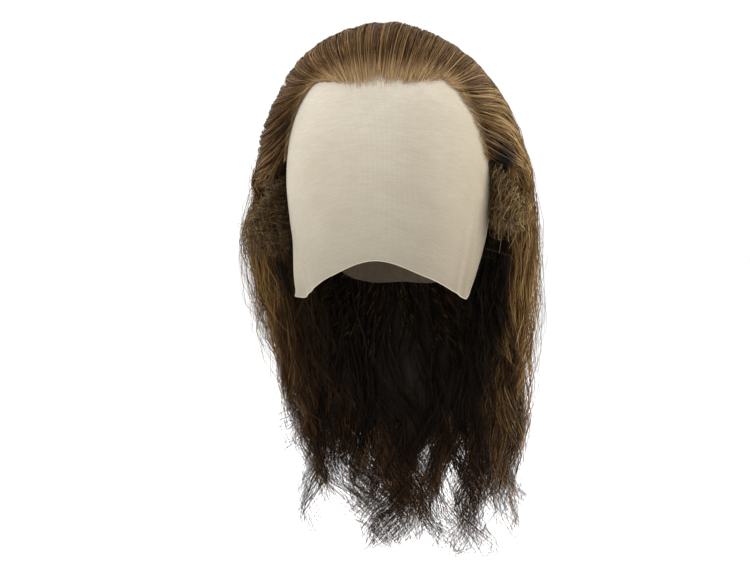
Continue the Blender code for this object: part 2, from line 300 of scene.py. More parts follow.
class Finish:  # a material, and the one method that adds its nodes
    def __init__(self, name, **constants):
        self.material = bpy.data.materials.new(name)
        self.material.use_nodes = True
        self.tree = self.material.node_tree
        self.shader = self.tree.nodes["Principled BSDF"]
        for socket, value in constants.items():
            self.shader.inputs[socket.replace("_", " ")].default_value = value

    def node(self, kind, settings=None, inputs=None, output=0):
        made = self.tree.nodes.new(kind)
        for setting, value in (settings or {}).items():
            if setting == "ramp":
                fillRamp(made.color_ramp, value)
            else:
                setattr(made, setting, value)
        for socket, value in (inputs or {}).items():
            if isinstance(value, Wire):
                self.tree.links.new(value.socket, made.inputs[socket])
            else:
                made.inputs[socket].default_value = value
        return Wire(self, made.outputs[output])

    def put(self, socket, wire):
        self.tree.links.new(wire.socket, self.shader.inputs[socket])

    def mixed(self, factor, first, second, blend="MIX"):
        return self.node(
            "ShaderNodeMix", {"data_type": "RGBA", "blend_type": blend}, {0: factor, 6: first, 7: second}, 2
        )

    def tinted(self, colour, light):  # one colour times another
        return self.mixed(1.0, colour, light, "MULTIPLY")

    def ramp(self, factor, stops):
        return self.node("ShaderNodeValToRGB", {"ramp": stops}, {0: factor})

    def noise(self, vector, scale, detail=2.0, roughness=0.5):
        return self.node(
            "ShaderNodeTexNoise",
            {"noise_dimensions": "3D"},
            {"Vector": vector, "Scale": scale, "Detail": detail, "Roughness": roughness},
        )


def fillRamp(ramp, stops):  # stops are (place, colour)
    while len(ramp.elements) < len(stops):
        ramp.elements.new(1)
    for element, (at, colour) in zip(ramp.elements, stops):
        element.position = at
        element.color = (*colour, 1)


def mapAxes(finish):  # the piece's own map, and its u and v
    chart = finish.node("ShaderNodeUVMap", {"uv_map": "OFBake"})
    return chart, *(finish.node("ShaderNodeSeparateXYZ", None, {0: chart}, axis) for axis in (0, 1))


def streaks(finish, u, v, across, along, detail=3.0, roughness=0.6):
    # Noise on a stretched map: so many cells across it and so few along it that they run as streaks.
    stretched = finish.node("ShaderNodeCombineXYZ", None, {0: u * across, 1: v * along, 2: 0.0})
    return finish.noise(stretched, 1.0, detail, roughness)


def putMesh(name, points, faces, chart, finish, nodes=()):
    # Puts whole arrays into a mesh, smooth, with its map, riding on the one body.
    mesh = bpy.data.meshes.new(name)
    mesh.vertices.add(len(points))
    mesh.vertices.foreach_set("co", np.ascontiguousarray(points, np.float32).ravel())
    mesh.loops.add(faces.size)
    mesh.loops.foreach_set("vertex_index", np.ascontiguousarray(faces, np.int32).ravel())
    mesh.polygons.add(len(faces))
    mesh.polygons.foreach_set("loop_start", np.arange(0, faces.size, faces.shape[1], dtype=np.int32))
    mesh.update(calc_edges=True)
    layer = mesh.uv_layers.new(name="OFBake")
    layer.uv.foreach_set("vector", np.ascontiguousarray(chart[faces], np.float32).ravel())
    mesh.shade_smooth()
    mesh.materials.append(finish.material)
    piece = bpy.data.objects.new(name, mesh)
    bpy.context.scene.collection.objects.link(piece)
    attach(piece, "root")
    if nodes:
        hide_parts(*nodes)
    return piece


def unit(vectors):  # each over its own length
    return vectors / np.maximum(np.linalg.norm(vectors, axis=-1, keepdims=True), 1e-12)


def compass(angle):  # unit vectors round the crown and away from it at this angle
    sine, cosine, level = np.sin(angle), np.cos(angle), 0 * angle
    return np.stack([cosine, sine, level], -1), np.stack([sine, -cosine, level], -1)


def gridFaces(rows, columns, strips=1):  # quads of strips of rows by columns, all in one list
    row = np.arange(rows - 1)[:, None]
    column = np.arange(columns - 1)[None, :]
    here = (row * columns + column).reshape(-1)
    quads = np.stack([here, here + 1, here + columns + 1, here + columns], -1)
    return (quads[None] + (np.arange(strips) * rows * columns)[:, None, None]).reshape(-1, 4)


def ribbons(line, outward, width, twist, tone, way):
    # A flat strip along each line: side = (tangent x outward) turned by twist about the tangent.
    # line is strands x steps x 3; tone and way, strands x steps, go to the map's two axes.
    tangent = unit(np.gradient(line, axis=1))
    side = unit(np.cross(tangent, outward))
    facing = np.cross(side, tangent)
    across = side * np.cos(twist)[..., None] + facing * np.sin(twist)[..., None]
    half = across * (width / 2)[..., None]
    points = np.stack([line + half, line - half], 2)
    strands, steps = line.shape[:2]
    u = np.stack([tone, tone + 0.004], -1) * np.ones((1, steps, 1))
    v = np.broadcast_to(way[..., None], (strands, steps, 2))
    return points.reshape(-1, 3), gridFaces(steps, 2, strands), np.stack([u, v], -1).reshape(-1, 2)


mostProud = {  # how far hair may stand past the solids' box on x, y and z
    "low": (0.0045, 0.004, 0.006),
    "high": (0.0105, 0.004, 0.0015),
}
course = {  # how every strand runs, whatever its group
    "lowestLevel": 0.413,
    "widestLane": 1.04,
    "lockShift": 0.15,
    "strayRate": 1.5,
    "meanderPace": 6.5,
    "meanderByLock": 2.4,
    "meanderByLane": 4,
    "fallFrom": 0.75,
    "fallOver": 1.25,
    "sweepLanes": 0.6,
    "aheadBeta": (1.3, 1.3),
    "aheadRoots": 0.10,
    "aheadFade": 0.24,
    "slope": 1.6,
    "liftOff": 0.0018,
    "billowPace": 9,
    "billowByLock": 2.1,
    "looseFrom": 0.4,
    "leastLoose": 0.25,
    "paceByLock": 0.25,
    "paceByStrand": 0.02,
    "tightenFrom": 1.25,
    "bobShare": 0.6,
    "curlOver": 0.5,
    "curlByLock": 2.1,
    "hookFrom": 1.25,
    "hookOver": 0.75,
    "hookSizes": (0.6, 1.3),
    "hookByLock": 0.6,
    "hookFade": 0.2,
    "rippleSpread": 0.4,
    "ownRipple": 0.5,
    "ownNoise": 0.25,
}


def keepIn(points):  # clipped to the solids' box and the little that hair may stand past it
    low = np.array(cadBox[0]) - mostProud["low"]
    high = np.array(cadBox[1]) + mostProud["high"]
    return np.clip(points, low, high)


def strandSpans(spec, rng):
    # Each strand's lane with its fine bunch and its lock, its root and tip as ways along the lane, its layer
    # of the wall, and its steps, packed towards both ends. Locks differ in length, and none passes the lowest
    # level.
    count = spec["count"]
    lane = rng.uniform(*spec["lanes"], count)
    fine, lock = (np.floor((lane + 1) / 2 * bunches) for bunches in spec["bunches"])
    start = spanned(spec["roots"], rng.beta(*spec["rootBeta"], count))
    ragged = rng.normal(size=count) + np.sin(83 * lane + 2 * np.sin(31 * lane))
    start = start + rootShift(lane) + spec["rootScatter"] * ragged
    reach = 1 - spec["lockLength"] * (0.5 + 0.5 * np.sin(goldenAngle * lock))
    first, last = spec["ends"]
    end = first + (last - first) * reach * rng.random(count) ** spec["endBias"]
    kneeDepth = laneEnds(lane)[2]
    lowest = 1 + (depthAt(course["lowestLevel"]) - kneeDepth) / (tipDepth(lane) - kneeDepth)
    end = np.maximum(np.minimum(end, lowest), start + spec["shortest"])
    layer = spanned(spec["layers"], rng.random(count) ** spec["layerBias"])
    share = np.linspace(0, 1, spec["steps"])[None, :]
    share = share - spec["endSteps"] * np.sin(2 * math.pi * share) / (2 * math.pi)
    way = start[:, None] + (end - start)[:, None] * share
    return lane, fine, lock, start, end, layer, share, way


def strandCourse(spec, rng, lane, fine, lock, start, way):
    # The lane and the turn round the crown at each step. A strand draws in to the middles of its fine bunch
    # and its lock, strays and meanders, sweeps and splays round as it falls, and its root lies ahead, on the
    # lace.
    count = spec["count"]
    sinceRoot = way - start[:, None]
    fineMiddle = (fine + 0.5) / spec["bunches"][0] * 2 - 1
    lockMiddle = (lock + 0.5 + course["lockShift"] * np.sin(5 * lock)) / spec["bunches"][1] * 2 - 1
    drawn = ease((way - spec["drawnFrom"]) / (spec["drawnTo"] - spec["drawnFrom"]))
    toFine = spec["drawn"][0] * drawn * (fineMiddle - lane)[:, None]
    toLock = spec["drawn"][1] * drawn * (lockMiddle - lane)[:, None]
    gone = ease(sinceRoot * course["strayRate"])
    stray = spec["stray"] * rng.normal(size=count)[:, None] * gone
    wander = course["meanderPace"] * way
    wander = wander + course["meanderByLock"] * lock[:, None] + course["meanderByLane"] * lane[:, None]
    meander = spec["meander"] * np.sin(wander) * gone
    here = lane[:, None] + toFine + toLock + stray + meander
    here = np.clip(here, -course["widestLane"], course["widestLane"])
    side = np.where(lane < 0, -1.0, 1.0)[:, None]
    falling = np.clip(way - course["fallFrom"], 0, None)
    sweep = np.where(lane < 0, spec["sweep"][0], spec["sweep"][1])
    sweep = sweep * np.clip(np.abs(lane) / course["sweepLanes"], 0, 1) ** 2
    splay = spec["splay"] * rng.normal(size=(count, 1))
    turn = side * (sweep[:, None] * (falling / course["fallOver"]) ** 2 + splay * falling**2)
    ahead = np.radians(between(hairline, 3, np.abs(lane))) * rng.beta(*course["aheadBeta"], count)
    ahead = ahead * np.exp(-np.maximum(start, 0) / course["aheadRoots"])
    turn = turn - side * ahead[:, None] * np.exp(-np.maximum(sinceRoot, 0) / course["aheadFade"])
    return here, turn, drawn


def strandCurls(spec, rng, lane, fine, lock, end, way):
    # What a strand swings round the crown, what it stands off more or less, and its frizz. It waves in step
    # with its lock, more and faster towards the tip, curls near its end and turns with its lock's hook. Each
    # fine bunch ripples as one, and each strand a little by itself.
    count, steps = spec["count"], spec["steps"]
    side = np.where(lane < 0, -1.0, 1.0)[:, None]
    lock = lock[:, None]
    phase = goldenAngle * lock + spec["looseness"] * rng.normal(size=(count, 1))
    pace = 1 + course["paceByLock"] * np.sin(1.7 * lock)
    pace = spec["pace"] * (pace + course["paceByStrand"] * rng.normal(size=(count, 1)))
    turned = way + spec["tighter"] * np.clip(way - course["tightenFrom"], 0, None) ** 2
    size = spec["wave"] * np.clip(way - spec["waveFrom"], 0, None) ** spec["wavePower"]
    swing = size * np.sin(pace * turned + phase)
    bob = course["bobShare"] * size * np.sin(0.8 * pace * turned + 2.4 * phase + 1)
    curl = spec["curl"] * ease((way - end[:, None] + course["curlOver"]) / course["curlOver"]) ** 1.5
    curlPhase = spec["curlPace"] * way + course["curlByLock"] * lock
    hook = ease((way - course["hookFrom"]) / course["hookOver"]) ** 2
    hook = hook * spec["hook"] * rng.uniform(*course["hookSizes"], (count, 1))
    hook = hook * (spec["inward"] * side + course["hookByLock"] * np.sin(2.9 * lock))
    hook = hook * ease(np.abs(lane[:, None]) / course["hookFade"])
    axes = np.arange(1, 4)
    fine, way = fine[:, None, None], way[..., None]
    bunchPace = spec["ripple"] * (1 + course["rippleSpread"] * np.sin(1.3 * fine * axes))
    ownPhase = rng.uniform(0, 2 * math.pi, (count, 1, 3))
    ripple = np.sin(bunchPace * way + goldenAngle * fine * axes)
    ripple = ripple + course["ownRipple"] * np.sin(1.5 * bunchPace * way + ownPhase)
    frizz = spec["frizz"] * (ripple + course["ownNoise"] * rng.normal(size=(count, steps, 3)))
    return swing + hook + curl * np.sin(curlPhase), bob + 0.6 * curl * np.cos(curlPhase), frizz


def strandLines(spec, rng):
    # Strands along the lanes: each rises from the cap to its own layer of the wall, height times the wall's
    # depth, and its curls are added round the crown and outwards.
    lane, fine, lock, start, end, layer, share, way = strandSpans(spec, rng)
    here, turn, drawn = strandCourse(spec, rng, lane, fine, lock, start, way)
    inner, outer, angle, depth = walls(here, way, turn)
    run = np.maximum(way - start[:, None], 0) * crownArc * course["slope"]
    rise = 1 - np.exp(-run / spec["rise"])
    billow = np.sin(course["billowPace"] * way + course["billowByLock"] * lock[:, None])
    billow = spec["billow"] * billow * ease((way - 0.05) * 3)
    bunchLayer = spanned(spec["layers"], 0.5 + 0.5 * np.sin(goldenAngle * fine))
    height = layer[:, None] + spec["gather"] * drawn * (bunchLayer - layer)[:, None] + billow
    line = inner + (height * rise)[..., None] * (outer - inner)
    root = onCap(angle, depth, spec["rootOff"])
    line = root + (line - root) * (1 - np.exp(-run / course["liftOff"]))[..., None]
    swung, raised, frizz = strandCurls(spec, rng, lane, fine, lock, end, way)
    loose = (course["leastLoose"] + np.clip(way - course["looseFrom"], 0, 1.6)) * rise
    around, abroad = compass(angle)
    line = line + around * swung[..., None] + frizz * loose[..., None]
    line = line + abroad * raised[..., None]
    outward = unit(outer - inner)
    return {"line": line, "outward": outward, "lane": lane, "layer": layer, "way": way, "share": share}


toneLimits = (0.01, 0.985)  # u on every strand's map, a little inside the map's edges
shading = {
    "edgeFromLane": 0.86,
    "edgeOverLanes": 0.10,
    "innerSpread": 0.35,
    "hollowShadeLanes": 0.07,
    "hollowShadeWays": 0.15,
    "thinFrom": 0.7,
    "thinOver": 0.3,
    "thinnedBy": 0.6,
    "widths": (0.6, 1.4),
    "twist": 1.15,
    "twistPace": 5,
    "mapStart": 0.05,
    "mapLength": 2.1,
}


def makeHair(name, spec, nodes, finish):
    # Tone rises from the inner layers to the outer as painted shade and painted light, varies from lock to
    # lock, and falls as painted shade in the spec's hollow.
    rng = np.random.default_rng(spec["seed"])
    hair = strandLines(spec, rng)
    count, lane, layer, way = spec["count"], hair["lane"], hair["layer"], hair["way"]
    # painted shade and light: strands on the inner layers of the wall are darker, those on the outer layers
    # paler
    lit = spanned(spec["tone"], layer ** spec["toneBias"])
    # painted light and shade at the front edges: the left edge is painted paler, the right edge darker
    edge = ease((np.abs(lane) - shading["edgeFromLane"]) / shading["edgeOverLanes"]) * spec["edgeLightAndShade"]
    locked = spec["lockTone"] * (np.sin(23 * lane + 3 * np.sin(61 * lane)) + np.sin(97 * lane))
    inner = shading["innerSpread"]
    uneven = spec["toneSpread"] * rng.normal(size=count) * (inner + (1 - inner) * layer)
    # painted shade: tone falls in a bell round the spec's hollow, across lanes and along the way
    hollowShadeLane, hollowShadeWay, hollowShadeDepth = spec["hollowShade"]
    far = ((lane[:, None] - hollowShadeLane) / shading["hollowShadeLanes"]) ** 2
    far = far + ((way - hollowShadeWay) / shading["hollowShadeWays"]) ** 2
    tone = (lit + edge + locked * layer + uneven)[:, None] - hollowShadeDepth * np.exp(-far)
    taper = spec["rootWidth"] + (1 - spec["rootWidth"]) * ease(hair["share"] / spec["rootTaper"])
    thinning = ease((hair["share"] - shading["thinFrom"]) / shading["thinOver"])
    taper = taper * (1 - shading["thinnedBy"] * thinning)
    width = spec["width"] * rng.uniform(*shading["widths"], count)[:, None] * taper
    turn = rng.uniform(-shading["twist"], shading["twist"], count)[:, None]
    turn = turn + 0.5 * np.sin(way * shading["twistPace"] + rng.uniform(0, 6, count)[:, None])
    down = (way - rootShift(lane)[:, None] + shading["mapStart"]) / shading["mapLength"]
    points, faces, chart = ribbons(
        keepIn(hair["line"]), hair["outward"], width, turn, np.clip(tone, *toneLimits), np.clip(down, 0, 1)
    )
    return putMesh(name, keepIn(points), faces, chart, finish, nodes)


rootColour = (0.36, 0.235, 0.115)
rootFade = {"from": 0.018, "to": 0.060, "most": 0.85}


def hairFinish(name, tones, ways, roughness):
    # Colour is the strand's tone times the shade for how far along it lies, paler at the roots on the
    # hairline, with fine streaks across the tones.
    finish = Finish(name, Specular_IOR_Level=0.05)
    _, tone, way = mapAxes(finish)
    streak = streaks(finish, tone, way, 90, 2.5)
    colour = finish.tinted(finish.ramp(tone, tones), finish.ramp(way, ways))
    fade = finish.node(
        "ShaderNodeMapRange",
        {"interpolation_type": "SMOOTHSTEP"},
        {0: way, 1: rootFade["from"], 2: rootFade["to"], 3: rootFade["most"], 4: 0.0},
    )
    colour = finish.mixed(fade, colour, (*rootColour, 1))
    light = finish.ramp(streak, [(0.3, (0.74, 0.73, 0.73)), (0.7, (1.22, 1.20, 1.16))])
    finish.put("Base Color", finish.tinted(colour, light))
    finish.put("Roughness", streak * 0.25 + roughness)
    return finish


brownTones = [
    (0.00, (0.004, 0.0032, 0.0024)),
    (0.25, (0.027, 0.0150, 0.0076)),
    (0.50, (0.076, 0.0410, 0.0165)),
    (0.75, (0.168, 0.096, 0.037)),
    (1.00, (0.300, 0.200, 0.084)),
]
brownWays = [
    (0.00, (1.05, 1.02, 1.00)),
    (0.10, (0.88, 0.84, 0.80)),
    (0.30, (1.00, 1.00, 1.00)),
    (0.70, (1.15, 1.13, 1.00)),
    (0.84, (0.92, 0.86, 0.82)),
    (1.00, (0.76, 0.66, 0.62)),
]
brownHair = hairFinish("brownHair", brownTones, brownWays, 0.36)

print("hair")
combed = {
    "lanes": (-form["topLane"], form["topLane"]),
    "bunches": (171, 40),
    "drawn": (0.5, 0.42),
    "drawnFrom": 0.8,
    "drawnTo": 1.9,
    "gather": 0.7,
    "stray": 0.006,
    "meander": 0.018,
    "billow": 0.0,
    "rise": 0.014,
    "rootOff": 0.0008,
    "rootBeta": (1.0, 1.0),
    "rootScatter": 0.0,
    "rootWidth": 0.3,
    "rootTaper": 0.08,
    "lockLength": 0.22,
    "looseness": 0.25,
    "pace": 9.5,
    "tighter": 0.8,
    "wave": 0.0095,
    "waveFrom": 0.75,
    "wavePower": 1.6,
    "hook": 0.034,
    "inward": 0.4,
    "curl": 0.006,
    "curlPace": 19.0,
    "endSteps": 0.45,
    "frizz": 0.0010,
    "ripple": 10.0,
    "sweep": (0.08, 0.04),
    "splay": 0.012,
    "shortest": 0.25,
    "edgeLightAndShade": 0.0,
    "hollowShade": (0.0, 0.0, 0.0),
    "lockTone": 0.05,
    "toneBias": 1.5,
    "toneSpread": 0.12,
}
crownHair = {
    **combed,
    "lanes": (-0.70, 0.64),
    "count": 9000,
    "steps": 11,
    "endSteps": 0.0,
    "curl": 0.0,
    "gather": 0.0,
    "roots": (-0.018, 0.55),
    "rootBeta": (1.25, 5.5),
    "rootScatter": 0.004,
    "ends": (0.55, 1.05),
    "endBias": 1.0,
    "lockLength": 0.0,
    "layers": (0.55, 1.0),
    "layerBias": 0.7,
    "drawn": (0.25, 0.14),
    "drawnFrom": 0.0,
    "drawnTo": 0.5,
    "stray": 0.009,
    "billow": 0.02,
    "width": 0.00046,
    "tone": (0.18, 0.63),
    "rootWidth": 0.2,
    "rootTaper": 0.16,
    "seed": 10,
}
longHair = {
    **combed,
    "count": 3500,
    "steps": 20,
    "roots": (0.05, 0.7),
    "ends": (1.10, 2.24),
    "endBias": 0.52,
    "layers": (0.45, 1.0),
    "layerBias": 0.6,
    "width": 0.00060,
    "tone": (0.02, 0.58),
    "seed": 11,
}
hangingHair = {
    **longHair,
    "count": 3500,
    "steps": 16,
    "roots": (0.6, 1.45),
    "bunches": (149, 33),
    "drawn": (0.2, 0.1),
    "gather": 0.2,
    "layers": (0.04, 0.95),
    "layerBias": 0.9,
    "tone": (-0.03, 0.58),
    "seed": 12,
}
leftHair = {
    **longHair,
    "count": 3750,
    "steps": 23,
    "lanes": (-1.0, -form["topLane"]),
    "roots": (-0.015, 1.10),
    "rootBeta": (0.9, 2.2),
    "rootScatter": 0.006,
    "layers": (0.02, 1.0),
    "layerBias": 0.85,
    "ends": (1.10, 2.24),
    "endBias": 1.0,
    "lockLength": 0.20,
    "inward": 0.35,
    "looseness": 0.35,
    "frizz": 0.0014,
    "splay": 0.02,
    "sweep": (0.15, 0.04),
    "tone": (0.10, 0.56),
    "toneBias": 1.6,
    "edgeLightAndShade": 0.09,
    "pace": 12.5,
    "wave": 0.0050,
    "waveFrom": 0.3,
    "wavePower": 1.1,
    "width": 0.00052,
    "seed": 13,
}
rightHair = {
    **leftHair,
    "lanes": (form["topLane"], 1.0),
    "endBias": 0.95,
    "tone": (-0.14, 1.06),
    "toneBias": 1.55,
    "edgeLightAndShade": -0.08,
    "wave": 0.0060,
    "hollowShade": (0.96, 0.28, 0.90),
    "seed": 14,
}
makeHair("hair_crown", crownHair, ("top_hair",), brownHair)
makeHair("hair_long", longHair, ("top_hair", "back_hair"), brownHair)
makeHair("hair_hanging", hangingHair, ("back_hair",), brownHair)
makeHair("hair_left", leftHair, ("side_hair_left",), brownHair)
makeHair("hair_right", rightHair, ("side_hair_right",), brownHair)

babyHair = {
    **combed,
    "count": 3400,
    "steps": 5,
    "endSteps": 0.0,
    "curl": 0.0,
    "gather": 0.0,
    "lanes": (-1.03, 1.03),
    "roots": (-0.046, 0.030),
    "rootBeta": (2.6, 2.0),
    "rootScatter": 0.004,
    "ends": (0.0, 0.10),
    "endBias": 1.0,
    "shortest": 0.03,
    "layers": (0.3, 1.1),
    "layerBias": 1.0,
    "stray": 0.03,
    "rise": 0.02,
    "width": 0.00024,
    "tone": (0.40, 0.70),
    "toneBias": 1.0,
    "seed": 15,
}
flyaways = {
    **combed,
    "count": 1300,
    "steps": 15,
    "lanes": (-1.04, 1.04),
    "roots": (0.25, 1.2),
    "ends": (1.20, 2.08),
    "endBias": 0.9,
    "layers": (0.95, 1.14),
    "layerBias": 1.6,
    "drawn": (0.0, 0.3),
    "gather": 0.0,
    "wave": 0.010,
    "wavePower": 1.2,
    "frizz": 0.0016,
    "splay": 0.06,
    "stray": 0.03,
    "looseness": 1.2,
    "width": 0.00026,
    "tone": (0.35, 0.60),
    "toneBias": 1.0,
    "seed": 16,
}
makeHair("hair_baby", babyHair, ("top_hair",), brownHair)
makeHair("hair_flyaway", flyaways, ("back_hair",), brownHair)


packed = {
    "columns": 70,
    "rows": 36,
    "shares": (0.30, 0.50),
    "thinnest": 0.08,
    "fadeIn": 0.12,
    "fadeOut": 0.25,
    "grooveReach": 0.11,
    "middleReach": 0.12,
    "middleLanes": 0.07,
}


def makeUndercoat(name, laneSpan, waySpan, nodes, finish, columns=packed["columns"], rows=packed["rows"]):
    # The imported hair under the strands: the hair's wall cut down to shares of its depth, closed at its rims.
    # It reaches a little further down the short lanes between locks and at the middle, so its lower edge is
    # even.
    lane, share = np.meshgrid(np.linspace(*laneSpan, columns), np.linspace(0, 1, rows))
    end = waySpan[1] + packed["grooveReach"] * (1 - crest(lane))
    end = end + packed["middleReach"] * np.exp(-((lane / packed["middleLanes"]) ** 2))
    way = waySpan[0] + (end - waySpan[0]) * share
    inner, outer, _, _ = walls(lane, way)
    fade = ease((way - waySpan[0]) / packed["fadeIn"]) * ease((end - way) / packed["fadeOut"])
    first, last = packed["shares"]
    thick = first + (last - first) * (packed["thinnest"] + (1 - packed["thinnest"]) * fade)
    low = inner + first * (outer - inner)
    high = inner + thick[..., None] * (outer - inner)
    quads = gridFaces(rows, columns)
    half = rows * columns
    top, bottom = np.arange(columns), np.arange(columns) + (rows - 1) * columns
    near, far = np.arange(rows) * columns, np.arange(rows) * columns + columns - 1
    rims = [top[::-1], bottom, near, far[::-1]]
    rim = np.concatenate([np.stack([r[:-1], r[1:], r[1:] + half, r[:-1] + half], -1) for r in rims])
    faces = np.concatenate([quads[:, ::-1], quads + half, rim])
    across = (lane - laneSpan[0]) / (laneSpan[1] - laneSpan[0])
    charts = [np.stack([side * 0.5 + 0.01 + 0.48 * across, way / 2], -1).reshape(-1, 2) for side in (0, 1)]
    points = np.concatenate([low.reshape(-1, 3), high.reshape(-1, 3)])
    return putMesh(name, points, faces, np.concatenate(charts), finish, nodes)


def undercoatShadeFinish():  # painted shade: near-black streaks down the hair for its shaded inside, in the colour and as a low bump
    finish = Finish("undercoatShade", Specular_IOR_Level=0.08)
    _, u, v = mapAxes(finish)
    streak = streaks(finish, u, v, 420, 4, 4.0, 0.65)
    darks = [(0.3, (0.002, 0.0015, 0.001)), (0.5, (0.006, 0.004, 0.0024)), (0.72, (0.026, 0.016, 0.009))]
    finish.put("Base Color", finish.ramp(streak, darks))
    finish.put("Roughness", streak * 0.2 + 0.45)
    bump = finish.node("ShaderNodeBump", None, {"Strength": 0.7, "Distance": 0.0008, "Height": streak})
    finish.put("Normal", bump)
    return finish


undercoatShade = undercoatShadeFinish()
# near-black body inside the hair: painted shade for the shaded depth of the hair mass
makeUndercoat("undercoat_shade_top", (-0.6, 0.6), (0.08, 1.66), ("top_hair", "back_hair"), undercoatShade, 110, 50)
makeUndercoat("undercoat_shade_left", (-0.97, -0.6), (0.10, 1.36), ("side_hair_left",), undercoatShade)
makeUndercoat("undercoat_shade_right", (0.6, 1.02), (0.09, 1.46), ("side_hair_right",), undercoatShade)

print("sideburns")
tuft = {
    "count": 1500,
    "steps": 15,
    "length": (0.009, 0.022),
    "startBias": 1.2,
    "spread": 0.03,
    "splay": (0.05, 0.10),
    "rootOff": 0.001,
    "reach": (0.25, 1.0),
    "proud": 0.94,
    "roundness": 0.4,
    "bow": 0.62,
    "curl": 0.0027,
    "curlSizes": (0.5, 1.6),
    "turns": (0.8, 2.1),
    "width": 0.00052,
    "twist": 1.2,
}
leftTuft = {
    **tuft,
    "side": -1,
    "lanes": (1.06, form["sideburnLane"]),
    "lowest": 0.80,
    "tone": (0.08, 0.85),
    "seed": 21,
}
rightTuft = {
    **tuft,
    "side": 1,
    "lanes": (1.02, 1.20),
    "lowest": 0.60,
    "tone": (0.1, 1.1),
    "seed": 22,
}


def makeTuft(name, spec, node, finish):
    # Springy curls: each starts on the lace, bows outwards and down, and winds in a loose coil round its
    # line. The tuft's bulge is a sine across its lanes times a sine down it.
    rng = np.random.default_rng(spec["seed"])
    count, side, lanes = spec["count"], spec["side"], spec["lanes"]
    lane = side * rng.uniform(*lanes, count)
    across = (np.abs(lane) - lanes[0]) / (lanes[1] - lanes[0])
    start = spec["lowest"] * rng.random(count) ** spec["startBias"]
    share = np.linspace(0, 1, spec["steps"])[None, :]
    length = rng.uniform(*spec["length"], count)
    here = lane[:, None] + side * spec["spread"] * rng.normal(size=count)[:, None] * share
    angle, depth = flow(here, np.broadcast_to(start[:, None], here.shape))
    depth = depth + share * (length / crownArc)[:, None]
    angle = angle + side * share * rng.normal(*spec["splay"], count)[:, None]
    inner = onCap(angle, depth, spec["rootOff"])
    outer = place(angle, depth, 1, hairStandOff(angle, depth))
    bulge = np.sin(np.interp(across, [0, 1], np.radians([13, 167])))
    bulge = bulge * np.sin(np.interp(start, [0, 1], np.radians([7, 126])))
    reach = rng.uniform(*spec["reach"], count) * spec["proud"] * bulge ** spec["roundness"]
    rise = np.sin(share * math.pi * spec["bow"]) ** 0.8
    line = inner + (reach[:, None] * rise)[..., None] * (outer - inner)
    turns = rng.uniform(*spec["turns"], count)[:, None]
    phase = rng.uniform(0, 2 * math.pi, count)[:, None]
    radius = spec["curl"] * rng.uniform(*spec["curlSizes"], count)[:, None] * ease(share * 5)
    around, abroad = compass(angle)
    upward = np.zeros_like(around) + (0, 0, 1)
    wind = (2 * math.pi * turns * share + phase)[..., None]
    line = line + radius[..., None] * (around * np.cos(wind) + (0.6 * abroad + 0.8 * upward) * np.sin(wind))
    dark, pale = spec["tone"]
    # painted highlight and shade: curls that reach further out are paler, those close in darker
    tone = dark + (pale - dark) * rng.random(count) * (0.5 + 0.5 * reach)
    tone = np.clip(tone, *toneLimits)[:, None]
    width = spec["width"] * rng.uniform(*shading["widths"], count)[:, None] * (1 - 0.5 * share)
    twist = rng.uniform(-spec["twist"], spec["twist"], count)[:, None] + 0 * share
    down = np.broadcast_to(0.12 + 0.2 * share, here.shape)
    points, faces, chart = ribbons(line, unit(outer - inner), width, twist, tone, down)
    return putMesh(name, keepIn(points), faces, chart, finish, (node,))


goldenTones = [
    (0.00, (0.016, 0.010, 0.006)),
    (0.40, (0.080, 0.050, 0.024)),
    (0.75, (0.225, 0.144, 0.058)),
    (1.00, (0.440, 0.310, 0.140)),
]
goldenWays = [
    (0.0, (1.0, 1.0, 1.0)),
    (1.0, (0.8, 0.8, 0.8)),
]
goldenHair = hairFinish("goldenHair", goldenTones, goldenWays, 0.40)
makeTuft("tuft_left", leftTuft, "sideburn_left", goldenHair)
makeTuft("tuft_right", rightTuft, "sideburn_right", goldenHair)

print("lace")
laceEdges = (  # angle, upper edge's depth, lower edge's share of the drop
    (-24, 0.420, 1.07),
    (0, 0.420, 1.00),
    (24, 0.420, 1.07),
    (48, 0.440, 1.15),
    (60, 0.500, 1.18),
    (72, 0.640, 1.13),
    (84, 0.820, 0.93),
)
lace = {
    "angle": 84,
    "columns": 170,
    "rows": 64,
    "cells": (330, 118),
    "sheer": 0.32,
    "pleatHeight": 0.0016,
    "pleatDepth": 0.4,
    "cornerFlare": 0.007,
    "cornerAngle": -65,
    "cornerWidth": 6,
    "cornerStart": 0.7,
    "pleats": ((-63, 4.0, 1.0), (-52, 3.5, 0.7), (-42, 3.0, 0.4), (48, 3.0, 0.5), (58, 3.5, 1.0)),
}


def lacePoint(angle, share):
    # The lace's middle surface: angle in degrees, share 0 at its upper edge and 1 at its lower. It lies as
    # the cap does, lifted by pleats, each a bell curve across, and by the turned corner.
    top = between(laceEdges, 1, np.abs(angle))
    low = depthAt(fit["laceDrop"] * between(laceEdges, 2, np.abs(angle)))
    depth = top + (low - top) * share
    fold = sum(height * np.exp(-(((angle - at) / wide) ** 2)) for at, wide, height in lace["pleats"])
    corner = np.exp(-(((angle - lace["cornerAngle"]) / lace["cornerWidth"]) ** 2))
    corner = corner * ease((share - lace["cornerStart"]) / (1 - lace["cornerStart"]))
    pleat = lace["pleatHeight"] * fold * ease((depth - 1) / lace["pleatDepth"])
    standOff = pleat + lace["cornerFlare"] * corner
    return onCap(np.radians(angle), depth, standOff + fit["laceWall"] / 2)


def makeSheet(name, points, chart, finish, nodes):  # a grid of points as one sheet, its face outwards
    faces = gridFaces(*points.shape[:2])[:, ::-1]
    return putMesh(name, points.reshape(-1, 3), faces, chart.reshape(-1, 2), finish, nodes)


